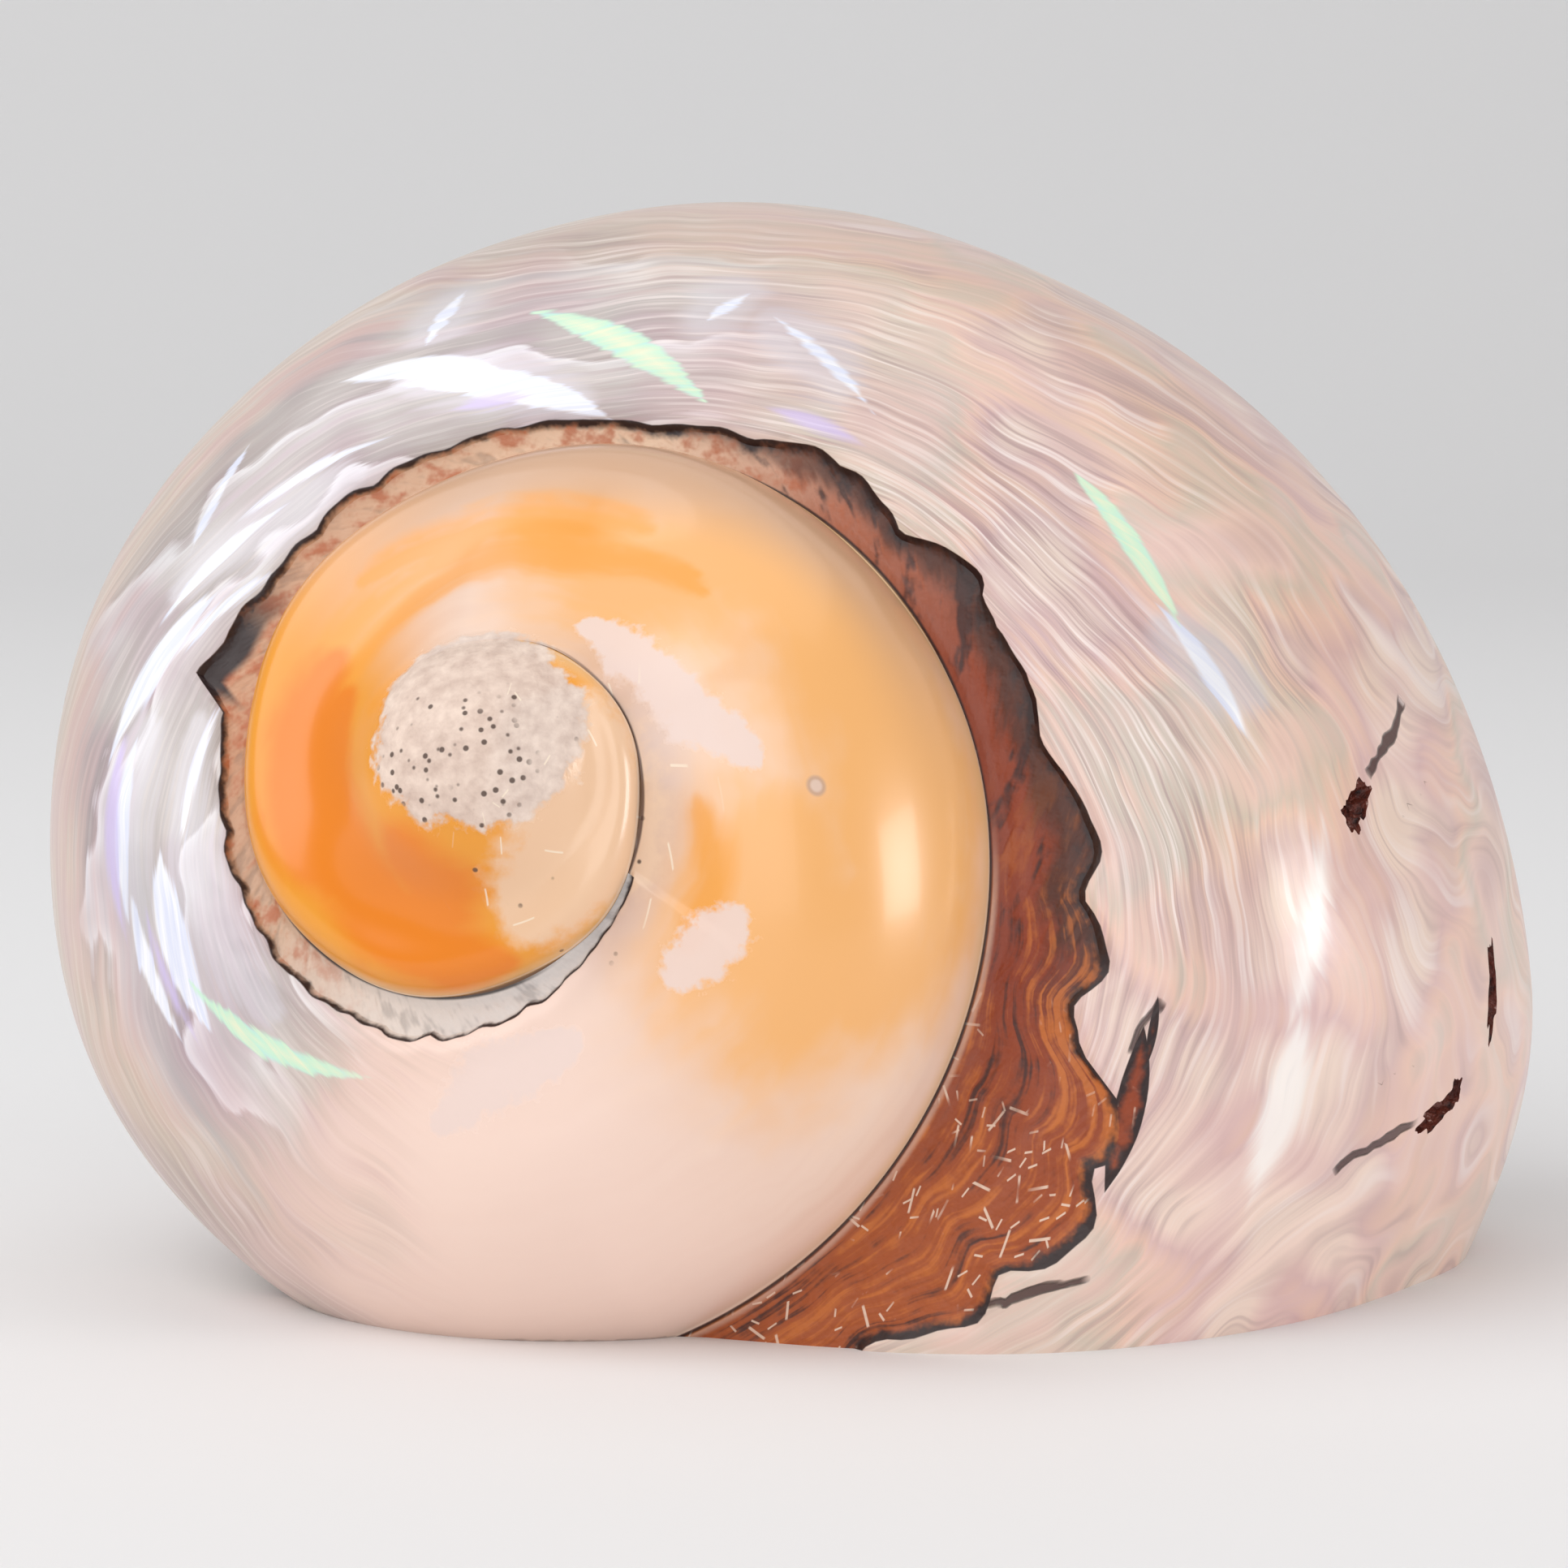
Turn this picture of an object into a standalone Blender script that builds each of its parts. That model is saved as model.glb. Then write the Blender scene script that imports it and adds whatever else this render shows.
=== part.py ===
# A polished turban seashell lying on its mouth, tip towards the viewer (-Y).
# The whorls wind about one axis. A whorl's outline at any turn is a quarter of an ellipse from the
# seam above it out to its widest point, and on the last whorl a second quarter from there to the
# axis. Turn 0 points right, turns count clockwise seen from the tip, and the lip is at LIP_TURN.
# The mouth opens down; the throat follows the last whorl back, out of sight.

import bmesh
import bpy
from math import cos, exp, pi, radians, sin
from mathutils import Matrix, Vector

# Driving dimensions, metres, turns and degrees
LIP_TURN = 1.222           # where the last whorl ends
FIRST_TURN = -1.4          # where the whorls start, next to the tip
SEAM_RADIUS = 0.00846      # radius of the seam between whorls at turn 0
SEAM_GROWTH = 1.178        # its growth for each turn, and how that growth slows
SEAM_SLOWING = 0.149
SEAM_DEPTH = 0.740         # depth of the seam below the tip, as a share of its radius at the lip
SEAM_SINKING = 0.1215
WIDEST_RADIUS = 0.0587     # widest point of the last whorl towards the lip
WIDEST_DEPTH = 0.0553
LIP_CURL = (0.065, 1.02, 0.08)  # how far the whorl draws in at the lip, from which turn, over how many
BASE_DEPTH = (0.44, 0.80)  # the base below the widest point, as a share of it: first, at the lip
AXIS_DEPTH = (0.056, 0.062)  # where the base meets the axis, below the tip: first, at the lip
BASE_POWER = (1.25, 2.0)   # how soon it turns towards that point: first, at the lip
SHOULDER = (0.70, 1.23)    # how full the shoulder is, across and down
AXIS_DIP = 17.2            # the axis, from the tip into the shell, below the horizontal
AXIS_TURN = 16.6           # and to the right of +Y
TIP_PLACE = (-0.01758, -0.03087)  # of the tip, from the middle of the shell
TIP_HEIGHT = 0.0322        # of the axis at the tip, above the surface that the shell lies on
BAND_EDGE = (0.028, 0.120)  # outer edge of the dark band, as steps: along the seam, more near the lip
BAND_LEDGE = 0.00035       # how far the band lies below the pearly part
WALL = (0.0026, 0.0034)    # thickness of the last whorl: at the lip, at the far end of the throat
THROAT = (0.80, 1.275)     # first and last turn of the throat
PITS = (                   # worn holes: turn, step on the outline, half sizes along, across and deep
    (1.000, 0.47, 0.0017, 0.0014, 0.0013),
    (1.053, 0.71, 0.0016, 0.0016, 0.0013),
    (1.027, 0.82, 0.0034, 0.0014, 0.0012),
)
PLINTH = 0.20              # size of the block that trims the underside flat

STEPS = 48                 # stations for each turn
ARC_STEPS = 11             # faces from a seam to the widest point
BASE_STEPS = 11            # faces from the widest point to the axis


def seam(turn):
    """Radius and depth of the seam that a whorl starts from."""
    radius = SEAM_RADIUS * exp(SEAM_GROWTH * turn - SEAM_SLOWING * turn * abs(turn))
    return radius, radius * SEAM_DEPTH * exp(SEAM_SINKING * (turn - LIP_TURN))


def widest(turn):
    """Radius and depth of a whorl's widest point: the next seam, while there is one."""
    if turn <= LIP_TURN - 1:
        return seam(turn + 1)
    share = turn - (LIP_TURN - 1)
    radius, depth = seam(LIP_TURN)
    bulge = share * (1 - share)
    late = min(max((turn - LIP_CURL[1]) / LIP_CURL[2], 0), 1)
    curl = LIP_CURL[0] * late * late * (3 - 2 * late)
    return (radius * (WIDEST_RADIUS / radius) ** share * exp(-0.33 * bulge - curl),
            depth * (WIDEST_DEPTH / depth) ** share * exp(0.22 * bulge))


def mix(pair, share):
    return pair[0] + (pair[1] - pair[0]) * share


def outline(turn, step):
    """Radius and depth on a whorl: step 0 to 1 seam to widest point, 1 to 2 on to the axis."""
    (seam_r, seam_h), (wide_r, wide_h) = seam(turn), widest(turn)
    if step <= 1:
        angle = step * pi / 2
        return (seam_r + (wide_r - seam_r) * sin(angle) ** SHOULDER[0],
                wide_h - (wide_h - seam_h) * max(cos(angle), 0) ** SHOULDER[1])
    share = max(turn - LIP_TURN + 1, 0)
    angle = (step - 1) * pi / 2
    radius = 0 if step >= 2 else wide_r * cos(angle)
    reach = mix(BASE_DEPTH, share) * (wide_r - 0.3 * seam_r)
    lift = wide_h + reach - mix(AXIS_DEPTH, share)
    return radius, wide_h + reach * sin(angle) - lift * (1 - radius / wide_r) ** mix(BASE_POWER, share)


def sunk(turn, step, depth):
    """The outline at a step, moved inwards along its normal."""
    near, far = outline(turn, max(step - 0.01, 0)), outline(turn, min(step + 0.01, 2))
    normal = Vector((far[1] - near[1], near[0] - far[0])).normalized()
    radius, height = outline(turn, step)
    return radius - depth * normal.x, height - depth * normal.y


def band_edge(turn):
    """Where the dark band ends on the shoulder: a scalloped line, far out near the lip."""
    bites = 0.6 * abs(sin(10.5 * pi * turn)) + 0.4 * sin(67 * turn + 1)
    swell = exp(-((turn - 1.10) / 0.055) ** 2)
    widening = 0.03 * max(turn - 0.85, 0) / 0.2
    return BAND_EDGE[0] + widening + (BAND_EDGE[1] + 0.03 * bites) * swell + 0.008 * bites


axis = Vector((0, cos(radians(AXIS_DIP)), -sin(radians(AXIS_DIP))))
axis = Matrix.Rotation(radians(-AXIS_TURN), 3, "Z") @ axis
across = (Vector((1, 0, 0)) - axis.x * axis).normalized()
down = axis.cross(across)
tip = Vector((*TIP_PLACE, TIP_HEIGHT))


def place(turn, radius, depth):
    """World position of a point given by its turn, radius and depth."""
    angle = 2 * pi * turn
    return tip + axis * depth + across * (radius * cos(angle)) + down * (radius * sin(angle))


def new_object(name, bm, collection):
    bmesh.ops.recalc_face_normals(bm, faces=bm.faces)
    mesh = bpy.data.meshes.new(name)
    bm.to_mesh(mesh)
    bm.free()
    obj = bpy.data.objects.new(name, mesh)
    collection.objects.link(obj)
    return obj


def steps_of(turn):
    """Steps across the visible part of a whorl, closer together at the band's ledge."""
    if turn < LIP_TURN - 1 - 1e-6:
        return [(i / ARC_STEPS) ** 1.2 for i in range(ARC_STEPS + 1)]
    edge = band_edge(turn)
    rest = ARC_STEPS - 4
    start = edge + 0.014
    shoulder = [start + (1 - start) * (i / rest) ** 1.15 for i in range(rest + 1)]
    return [0, 0.3 * edge, 0.65 * edge, edge] + shoulder


def whorls():
    """One skin over all the whorls, closed at the tip and by the flat end at the lip."""
    bm = bmesh.new()
    count = round((LIP_TURN - FIRST_TURN) * STEPS)
    turns = [LIP_TURN - (count - i) / STEPS for i in range(count + 1)]
    rows = []
    for turn in turns:
        last = turn >= LIP_TURN - 1 - 1e-6
        row = []
        for i, step in enumerate(steps_of(turn)):
            ledge = BAND_LEDGE if last and 0 < i <= 3 else 0
            row.append(bm.verts.new(place(turn, *sunk(turn, step, ledge))))
        if last:
            for i in range(1, BASE_STEPS + 1):
                row.append(bm.verts.new(place(turn, *outline(turn, 1 + i / BASE_STEPS))))
        rows.append(row)
    for one, two in zip(rows, rows[1:]):
        for i in range(min(len(one), len(two)) - 1):
            bm.faces.new((one[i], one[i + 1], two[i + 1], two[i]))
    bmesh.ops.remove_doubles(bm, verts=bm.verts, dist=1e-6)
    point = bm.verts.new(place(0, 0, 0.0004))
    for edge in [e for e in bm.edges if e.is_boundary]:
        if (edge.verts[0].co - tip).length < 0.012:
            bm.faces.new((edge.verts[0], edge.verts[1], point))
    bmesh.ops.holes_fill(bm, edges=[e for e in bm.edges if e.is_boundary], sides=0)
    return bm


def throat_ring(turn):
    """One section of the throat: inside the whorl's wall, outside the whorl before it."""
    wall = mix(WALL, min(1, (LIP_TURN - turn) / 0.7))
    ring = [sunk(turn, 0.28 + 1.44 * i / 13, wall) for i in range(14)]
    radius, depth = sunk(turn - 1, 1.62, -1.2 * wall)
    ring.append((0.5 * (ring[-1][0] + radius), 0.35 * ring[-1][1] + 0.65 * depth + wall))
    ring += [sunk(turn - 1, 1.62 - 0.12 * i, -1.2 * wall) for i in range(6)]
    for _ in range(3):
        before, after = ring[-1:] + ring[:-1], ring[1:] + ring[:1]
        ring = [tuple((a + 2 * b + c) / 4 for a, b, c in zip(*three))
                for three in zip(before, ring, after)]
    return ring


def throat():
    """A tube that follows the last whorl inside its wall and closes in a blunt end."""
    bm = bmesh.new()
    first, last = THROAT
    count, rings = 16, []
    for i in range(count + 1):
        turn = first + (last - first) * i / count
        ring = throat_ring(turn)
        middle = (sum(p[0] for p in ring) / len(ring), sum(p[1] for p in ring) / len(ring))
        close = min(1, (0.30 + 0.28 * i)) ** 0.7
        ring = [(middle[0] + close * (radius - middle[0]), middle[1] + close * (depth - middle[1]))
                for radius, depth in ring]
        rings.append([bm.verts.new(place(turn, radius, depth)) for radius, depth in ring])
    for one, two in zip(rings, rings[1:]):
        for j in range(len(one)):
            bm.faces.new((one[j - 1], one[j], two[j], two[j - 1]))
    bm.faces.new(rings[0])
    bm.faces.new(rings[-1])
    return bm


def pits():
    """Small worn holes in the last whorl, as one cutter of separate balls."""
    bm = bmesh.new()
    for turn, step, along, wide, deep in PITS:
        here = place(turn, *outline(turn, step))
        ahead = (place(turn + 0.005, *outline(turn + 0.005, step)) - here).normalized()
        side = (place(turn, *outline(turn, step + 0.02)) - here).normalized()
        normal = side.cross(ahead).normalized()
        turned = Matrix((ahead, side, normal)).transposed().to_4x4()
        shape = Matrix.Translation(here) @ turned @ Matrix.Diagonal((along, wide, deep, 1))
        bmesh.ops.create_icosphere(bm, subdivisions=2, radius=1, matrix=shape)
    return bm


def plinth():
    """A block whose top face is the surface that the shell lies on."""
    bm = bmesh.new()
    bmesh.ops.create_cube(bm, size=PLINTH)
    bmesh.ops.translate(bm, verts=bm.verts, vec=(0, 0, -PLINTH / 2))
    return bm


def boolean(obj, cutter, operation):
    cutter.hide_render = True
    cutter.display_type = "WIRE"
    modifier = obj.modifiers.new(cutter.name, "BOOLEAN")
    modifier.operation = operation
    modifier.object = cutter


for old in list(bpy.data.objects):
    bpy.data.objects.remove(old, do_unlink=True)
parts = bpy.data.collections.new("turban_seashell")
cutters = bpy.data.collections.new("cutters")
for collection in (parts, cutters):
    bpy.context.scene.collection.children.link(collection)

shell = new_object("shell", whorls(), parts)
boolean(shell, new_object("throat", throat(), cutters), "DIFFERENCE")
boolean(shell, new_object("pits", pits(), cutters), "DIFFERENCE")
boolean(shell, new_object("underside", plinth(), cutters), "DIFFERENCE")

pearl = bpy.data.materials.new("pearly shell")
pearl.use_nodes = True
surface = pearl.node_tree.nodes["Principled BSDF"]
surface.inputs["Base Color"].default_value = (0.60, 0.50, 0.46, 1)
surface.inputs["Roughness"].default_value = 0.22
surface.inputs["Metallic"].default_value = 0
shell.data.materials.append(pearl)
shell.data.shade_smooth()
shell.data.set_sharp_from_angle(angle=radians(40))
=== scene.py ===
from math import radians

import bpy
import numpy as np
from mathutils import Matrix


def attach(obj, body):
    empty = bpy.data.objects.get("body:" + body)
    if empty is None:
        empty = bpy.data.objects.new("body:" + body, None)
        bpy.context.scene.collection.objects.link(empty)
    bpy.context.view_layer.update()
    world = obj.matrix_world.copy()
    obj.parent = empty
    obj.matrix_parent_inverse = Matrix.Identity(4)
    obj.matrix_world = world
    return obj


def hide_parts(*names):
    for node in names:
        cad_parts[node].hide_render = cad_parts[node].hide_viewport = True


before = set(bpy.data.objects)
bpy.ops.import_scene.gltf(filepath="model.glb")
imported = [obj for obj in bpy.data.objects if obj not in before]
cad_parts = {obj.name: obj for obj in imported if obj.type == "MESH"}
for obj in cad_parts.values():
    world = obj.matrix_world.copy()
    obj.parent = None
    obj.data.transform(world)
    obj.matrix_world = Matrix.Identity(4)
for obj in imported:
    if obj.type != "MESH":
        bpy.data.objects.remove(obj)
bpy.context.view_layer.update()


# Camera and studio.
# The camera stands low in front of the shell's tip, as far off as the photograph's own lens, and
# a plain white sweep is lit by four soft boxes: on the left, on the right, in front and above.
camera = bpy.data.objects.new("camera", bpy.data.cameras.new("camera"))
FOCAL, WIDE = 6500, 1932          # focal length and width of the picture, in pixels
camera.data.sensor_width = 36
camera.data.lens = camera.data.sensor_width * FOCAL / WIDE
camera.data.clip_start = 0.01
camera.data.clip_end = 20
camera.location = (-0.000565, -0.29610, 0.05822)
camera.rotation_euler = (radians(84), 0, 0)
bpy.context.scene.collection.objects.link(camera)
bpy.context.scene.camera = camera


def sweep_surface(across, along):
    """Flat floor that rises in a quarter circle to an upright wall: x by the first parameter, and the
    profile by the second, floor to `flat` behind the shell, then the bend, then straight up."""
    flat, radius = 0.6, 0.5
    bend = np.clip((along - flat) / (radius * np.pi / 2), 0, 1) * np.pi / 2
    rise = np.clip(along - flat - radius * np.pi / 2, 0, None)
    return np.stack([across, np.minimum(along, flat) + radius * np.sin(bend),
                     radius - radius * np.cos(bend) + rise], axis=-1)


def grid_faces(rows, columns):
    """The four corners of each cell of a grid of vertices, row after row."""
    corner = np.arange((rows - 1) * columns).reshape(rows - 1, columns)[:, :-1].reshape(-1, 1)
    return corner + np.array([[0, 1, columns + 1, columns]])


side, back = np.meshgrid(np.linspace(-2.5, 2.5, 21), np.linspace(-1.5, 3.0, 61), indexing="ij")
sweep = bpy.data.meshes.new("sweep")
sweep.from_pydata(sweep_surface(side, back).reshape(-1, 3).tolist(), [],
                  grid_faces(*side.shape).tolist())
sweep.polygons.foreach_set("use_smooth", np.ones(len(sweep.polygons), bool))
paper = bpy.data.materials.new("white_paper")
paper.use_nodes = True
paper_inputs = paper.node_tree.nodes["Principled BSDF"].inputs
paper_inputs["Base Color"].default_value = (0.86, 0.86, 0.87, 1)
paper_inputs["Roughness"].default_value = 0.9
sweep.materials.append(paper)
floor = bpy.data.objects.new("floor", sweep)
bpy.context.scene.collection.objects.link(floor)

for name, place, turned, size, power in (
        ("box_left", (-0.70, -0.34, 0.72), (47, 0, -64), (1.2, 0.9), 6.6),
        ("box_right", (0.62, -0.20, 0.10), (87, 0, 72), (0.22, 0.18), 1.1),
        ("box_front", (-0.05, -0.95, 0.36), (71, 0, -3), (0.7, 0.6), 2.4),
        ("box_top", (0.10, 0.10, 0.95), (0, 0, 0), (1.1, 0.9), 2.2)):
    lamp = bpy.data.lights.new(name, "AREA")
    lamp.shape = "RECTANGLE"
    lamp.size, lamp.size_y = size
    lamp.energy = power
    box = bpy.data.objects.new(name, lamp)
    box.location = place
    box.rotation_euler = tuple(radians(angle) for angle in turned)
    bpy.context.scene.collection.objects.link(box)
world = bpy.data.worlds.new("room")
world.use_nodes = True
world_inputs = world.node_tree.nodes["Background"].inputs
world_inputs["Color"].default_value = (1.0, 0.98, 0.96, 1)
world_inputs["Strength"].default_value = 0.34
bpy.context.scene.world = world
bpy.context.scene.view_settings.view_transform = "Standard"


# The shell's skin.
# One grown piece of calcium carbonate with a pearly layer under a brown one, ground and polished
# until the pearl shows. The whorls are swept about the shell's own axis, the mouth and the throat
# are cut out of the last whorl, and the underside is flat where the shell lies.
LIP, FIRST = 1.222, -1.4          # turns at which the last whorl ends and the first one starts
ROUND = 350                       # stations for each turn
SHOULDER, BASE = 64, 50           # cells from a seam to the widest point, and on to the axis
tip = np.array([-0.01758, -0.03087, 0.0322])
dip, swing = np.radians(17.2), np.radians(16.6)
axis = np.array([np.sin(swing) * np.cos(dip), np.cos(swing) * np.cos(dip), -np.sin(dip)])
right = np.array([1.0, 0, 0]) - axis[0] * axis
right /= np.linalg.norm(right)
down = np.cross(axis, right)


def smooth(low, high, value):
    """0 below the low value, 1 above the high one, and an S-shaped rise between."""
    share = np.clip((value - low) / (high - low), 0, 1)
    return share * share * (3 - 2 * share)


def seam(turn):
    """Radius and depth of the seam a whorl starts from: an exponential spiral that slows down."""
    radius = 0.00846 * np.exp(1.178 * turn - 0.149 * turn * np.abs(turn))
    return radius, radius * 0.740 * np.exp(0.1215 * (turn - LIP))


def widest(turn):
    """Radius and depth of a whorl's widest point: the next seam, or on the last whorl an
    exponential run to the lip that draws in a little just before it."""
    radius, depth = seam(LIP)
    share = np.clip(turn - (LIP - 1), 0, None)
    bulge = share * (1 - share)
    curl = 0.065 * smooth(1.02, 1.10, turn)
    next_radius, next_depth = seam(turn + 1)
    last = turn > LIP - 1
    return (np.where(last, radius * (0.0587 / radius) ** share * np.exp(-0.33 * bulge - curl), next_radius),
            np.where(last, depth * (0.0553 / depth) ** share * np.exp(0.22 * bulge), next_depth))


def outline(turn, step):
    """Radius and depth on a whorl. Step 0 to 1 is a full quarter ellipse from the seam to the
    widest point, and 1 to 2 a flatter quarter from there to the axis. Where the polish has worn
    the first seams away, the ellipse gives way to a straight cone."""
    (seam_r, seam_h), (wide_r, wide_h) = seam(turn), widest(turn)
    angle = np.clip(step, 0, 1) * np.pi / 2
    radius = seam_r + (wide_r - seam_r) * np.sin(angle) ** 0.70
    depth = wide_h - (wide_h - seam_h) * np.clip(np.cos(angle), 0, None) ** 1.23
    fade = smooth(0.1, 0.9, step)
    worn = (1 - fade) * smooth(-0.04, -0.20, turn) + fade * smooth(-0.04, -0.20, turn + 1)
    cone = seam_h + (wide_h - seam_h) * (radius - seam_r) / (wide_r - seam_r)
    depth = depth + (cone - depth) * worn
    share = np.clip(turn - LIP + 1, 0, None)
    angle = np.clip(step - 1, 0, 1) * np.pi / 2
    reach = (0.44 + 0.36 * share) * (wide_r - 0.3 * seam_r)
    lift = wide_h + reach - (0.056 + 0.006 * share)
    base_r = wide_r * np.cos(angle)
    inwards = np.clip(1 - base_r / wide_r, 0, 1)
    base_h = wide_h + reach * np.sin(angle) - lift * inwards ** (1.25 + 0.75 * share)
    return np.where(step <= 1, radius, base_r), np.where(step <= 1, depth, base_h)


def sunk(turn, step, deep):
    """The outline moved inwards along its own normal, which two close points on it give."""
    near_r, near_h = outline(turn, np.clip(step - 0.01, 0, 2))
    far_r, far_h = outline(turn, np.clip(step + 0.01, 0, 2))
    length = np.hypot(far_r - near_r, far_h - near_h) + 1e-12
    radius, depth = outline(turn, step)
    return radius - deep * (far_h - near_h) / length, depth - deep * (near_r - far_r) / length


def spot(turn, radius, depth):
    """World place of a turn, radius and depth: along the axis, then out at the turn's angle."""
    angle = 2 * np.pi * turn[..., None]
    return (tip + axis * depth[..., None] + right * (radius[..., None] * np.cos(angle))
            + down * (radius[..., None] * np.sin(angle)))


# The ragged outer edge of the brown band, as turns and steps along the last whorl.
EDGE = ((0.10, 0.004), (0.15, 0.008), (0.19, 0.014), (0.228, 0.021), (0.26, 0.030), (0.31, 0.036),
        (0.40, 0.027), (0.50, 0.019), (0.548, 0.024), (0.562, 0.066), (0.578, 0.050), (0.62, 0.038),
        (0.69, 0.028), (0.76, 0.018), (0.80, 0.017), (0.847, 0.028), (0.869, 0.046), (0.888, 0.038),
        (0.903, 0.030), (0.922, 0.049), (0.933, 0.057), (0.948, 0.040), (0.974, 0.056), (0.986, 0.047),
        (1.008, 0.075), (1.023, 0.081), (1.034, 0.073), (1.049, 0.101), (1.061, 0.091), (1.072, 0.102),
        (1.076, 0.140), (1.080, 0.182), (1.087, 0.191), (1.094, 0.211), (1.106, 0.191), (1.124, 0.161),
        (1.143, 0.141), (1.162, 0.095), (1.19, 0.075), (1.222, 0.070))


def band_edge(turn):
    """Step at which the brown band ends: the ragged line above, with small bites added to it."""
    bites = np.abs(np.sin(31 * np.pi * turn)) * np.abs(np.sin(11 * np.pi * turn + 0.6))
    jags = np.sin(262 * turn) * np.sin(97 * turn + 2)
    line = np.interp(turn, [t for t, _ in EDGE], [s for _, s in EDGE])
    return line * (1 + 0.22 * (bites - 0.4) + 0.07 * jags)


stations = round((LIP - FIRST) * ROUND)
turn_of = LIP - (stations - np.arange(stations + 1)) / ROUND
early = stations - ROUND                       # the row where the last whorl starts
share = np.arange(SHOULDER + 1) / SHOULDER
plain = np.tile(share ** 1.2, (stations + 1, 1))
edge = band_edge(turn_of)[:, None]
BAND = 12                                      # cells across the band, and two more on its ledge
inner = edge * (np.arange(BAND + 1) / BAND) ** 1.3
rest = np.arange(SHOULDER - BAND) / (SHOULDER - BAND - 1)
outer = edge + 0.012 + (1 - edge - 0.012) * rest ** 1.15
fitted = np.concatenate([inner, outer], axis=1)
blend = smooth(0.04, 0.08, turn_of)[:, None]
steps = plain + (fitted - plain) * blend
base_steps = 1 + np.arange(1, BASE + 1) / BASE
rows = np.concatenate([steps, np.tile(base_steps, (stations + 1, 1))], axis=1)
turns = np.tile(turn_of[:, None], (1, rows.shape[1]))

radius, depth = outline(turns, rows)
arc = np.concatenate([np.zeros((stations + 1, 1)), np.cumsum(np.hypot(
    np.diff(radius, axis=1), np.diff(depth, axis=1)), axis=1)], axis=1) * 1000     # mm from the seam
column = np.arange(rows.shape[1])[None, :]
beyond = np.where(turns >= 0.10, arc - arc[:, BAND:BAND + 1], 9)               # mm past the band
in_band = smooth(-0.05, -0.35, beyond) * smooth(0.0, 0.5, arc)
swelling = 0.00012 * np.exp(-((beyond - 0.7) / 0.6) ** 2)
ripples = np.sin(1.9 * arc + 9 * turns) * np.sin(47 * turns + 0.13 * arc)
lumps = 0.00010 * (np.sin(23 * turns + 0.31 * arc) + np.sin(41 * turns - 0.22 * arc + 1.0))
lumps = lumps * smooth(2, 8, beyond) * smooth(LIP, LIP - 0.05, turns)
radius, depth = sunk(turns, rows, 0.00035 * in_band - swelling - lumps - 0.00004 * ripples * in_band)

# Near the tip the whorls are ground down to one low dome, which hides their seams. The base comes
# as near to the axis, but deeper in, and stays as it is.
DOME_TOP, DOME_CURVE = 0.00035, 78        # depth of its top, and how it falls off with the radius
ground = smooth(0.0078, 0.0050, radius) * (depth < 0.015)
depth = depth + (DOME_TOP + DOME_CURVE * radius ** 2 - depth) * ground
points = spot(turns, radius, depth)

# Each whorl's outer edge is the seam of the next whorl, one turn further on.
first_column = np.arange(stations + 1)
ids = np.full(rows.shape, -1)
ids[:, 0] = first_column
ids[:early + 1, SHOULDER] = first_column[ROUND:]
inside = (column > 0) & ((column < SHOULDER) | (np.arange(stations + 1)[:, None] > early))
inside |= (np.arange(stations + 1)[:, None] == early) & (column > SHOULDER)
ids[inside] = stations + 1 + np.arange(inside.sum())
used = ids >= 0
skin_points = np.zeros((ids.max() + 1, 3))
skin_points[ids[used]] = points[used]


def cell_corners(values, low, high, columns):
    """The values at the four corners of every cell between two rows, over the first columns."""
    part = values[low:high + 1, :columns + 1]
    return np.stack([part[:-1, :-1], part[:-1, 1:], part[1:, 1:], part[1:, :-1]], axis=-1).reshape(-1, 4)


spire_faces = cell_corners(ids, 0, early, SHOULDER)
body_faces = cell_corners(ids, early, stations, SHOULDER + BASE)

# The cap at the tip: rings that pass evenly from the first whorl's inner edge to a small circle.
rim = np.concatenate([ids[:ROUND + 1, 0], ids[0, SHOULDER - 1:0:-1]])
RINGS = 9
share = (np.arange(1, RINGS + 1) / RINGS)[:, None, None]
angle = 2 * np.pi * (FIRST + np.arange(len(rim)) / len(rim))[:, None]
circle = 0.0008 * (right * np.cos(angle) + down * np.sin(angle))
flat = skin_points[rim] - tip
flat = flat - (flat @ axis)[:, None] * axis
cap = flat + (circle - flat) * share
cap_r = np.linalg.norm(cap, axis=-1)
cap = tip + cap + axis * (DOME_TOP + DOME_CURVE * cap_r ** 2)[..., None]
cap_ids = len(skin_points) + np.arange(cap_r.size).reshape(cap_r.shape)
rings = np.concatenate([rim[None], cap_ids])
around = np.roll(rings, -1, axis=1)
cap_faces = np.stack([rings[:-1], around[:-1], around[1:], rings[1:]], axis=-1).reshape(-1, 4)
middle = len(skin_points) + cap_r.size
tip_faces = np.stack([rings[-1], around[-1], np.full(len(rim), middle)], axis=-1)
skin_points = np.concatenate([skin_points, cap.reshape(-1, 3), (tip + axis * DOME_TOP)[None]])

# The flat end at the lip, between the last outline and the base one turn before it, and along the
# axis, where the base ends.
lip_face = np.concatenate([ids[stations], ids[stations - 1:early:-1, -1], ids[early, :SHOULDER:-1]])


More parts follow.
